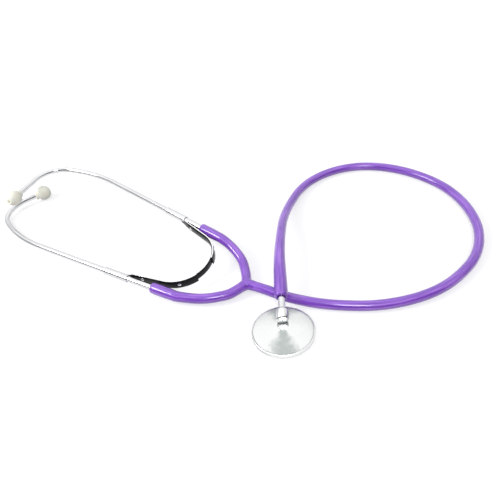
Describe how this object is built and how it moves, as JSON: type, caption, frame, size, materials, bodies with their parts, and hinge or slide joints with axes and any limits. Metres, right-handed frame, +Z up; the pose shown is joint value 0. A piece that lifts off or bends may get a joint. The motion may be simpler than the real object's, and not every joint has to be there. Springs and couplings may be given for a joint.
{
  "type": "toy stethoscope",
  "caption": "Toy stethoscope with a round metal chestpiece, looped glossy tubing, a sprung metal headset with crossing ear tubes, and soft white ear tips",
  "frame": {"origin": "middle of the chestpiece's listening face, on the table", "axes": "+X along the headset from the ear tips towards the tubing, +Y to the left ear tube's side, +Z up off the table"},
  "size_m": [0.3667, 0.2413, 0.0258],
  "materials": {
    "tubing": "smooth glossy purple vinyl",
    "chest_metal": "turned, bright",
    "stem_metal": "plated, polished",
    "tube_metal": "plated, polished",
    "spring_steel": "blackened spring steel with bright rims",
    "rivet_metal": "polished",
    "ear_tip": "soft satin white",
    "film": "smooth pale film",
    "seal": "matt"
  },
  "bodies": {
    "tubing": {"y_junction": "tubing", "main_tube": "tubing", "left_branch": "tubing", "right_branch": "tubing", "chest_cuff": "tubing", "leaf_spring": "spring_steel"},
    "left_arm": {"left_strip": "spring_steel", "left_rivets": "rivet_metal", "left_cuff": "tubing"},
    "right_arm": {"right_strip": "spring_steel", "right_rivets": "rivet_metal", "right_cuff": "tubing"},
    "left_tube": {"left_ear_tube": "tube_metal", "left_ferrule": "tube_metal"},
    "right_tube": {"right_ear_tube": "tube_metal", "right_ferrule": "tube_metal"},
    "left_tip": {"left_ear_tip": "ear_tip"},
    "right_tip": {"right_ear_tip": "ear_tip"},
    "chestpiece": {"diaphragm": "film", "diaphragm_gasket": "seal", "retaining_ring": "chest_metal", "chestpiece_back": "chest_metal", "stem": "stem_metal"}
  },
  "joints": [
    {"name": "right_arm_spread", "type": "hinge", "parent": "tubing", "child": "right_arm", "pos_m": [-0.0745, 0.00677, 0.00848], "axis": [0, 0, 1], "range_deg": [0, 25], "stiffness_Nm_per_rad": 0.5, "deforming": ["leaf_spring", "right_branch"]},
    {"name": "left_arm_spread", "type": "hinge", "parent": "tubing", "child": "left_arm", "pos_m": [-0.0745, 0.02123, 0.01052], "axis": [0, 0, 1], "range_deg": [-25, 0], "stiffness_Nm_per_rad": 0.5, "deforming": ["leaf_spring", "left_branch"]},
    {"name": "left_tube_twist", "type": "hinge", "parent": "left_arm", "child": "left_tube", "pos_m": [-0.11984, 0.04687, 0.01412], "axis": [-0.9949, 0.1001, 0.0141], "range_deg": [0, 30]},
    {"name": "right_tube_twist", "type": "hinge", "parent": "right_arm", "child": "right_tube", "pos_m": [-0.11984, -0.01887, 0.00488], "axis": [0.9949, 0.1001, 0.0141], "range_deg": [0, 4]},
    {"name": "left_tip_turn", "type": "hinge", "parent": "left_tube", "child": "left_tip", "pos_m": [-0.27306, -0.0007, 0.01925], "axis": [0.3469, -0.9372, 0.0376], "continuous": true},
    {"name": "right_tip_turn", "type": "hinge", "parent": "right_tube", "child": "right_tip", "pos_m": [-0.27851, 0.01413, 0.00587], "axis": [0.3455, 0.9362, 0.0643], "continuous": true},
    {"name": "chestpiece_turn", "type": "hinge", "parent": "tubing", "child": "chestpiece", "pos_m": [-0.00574, 0.00819, 0.0099], "axis": [-0.5704, 0.8147, 0.1045], "continuous": true}
  ],
  "couplings": [
    {"joint": "left_arm_spread", "follows": "right_arm_spread", "ratio": -1}
  ]
}
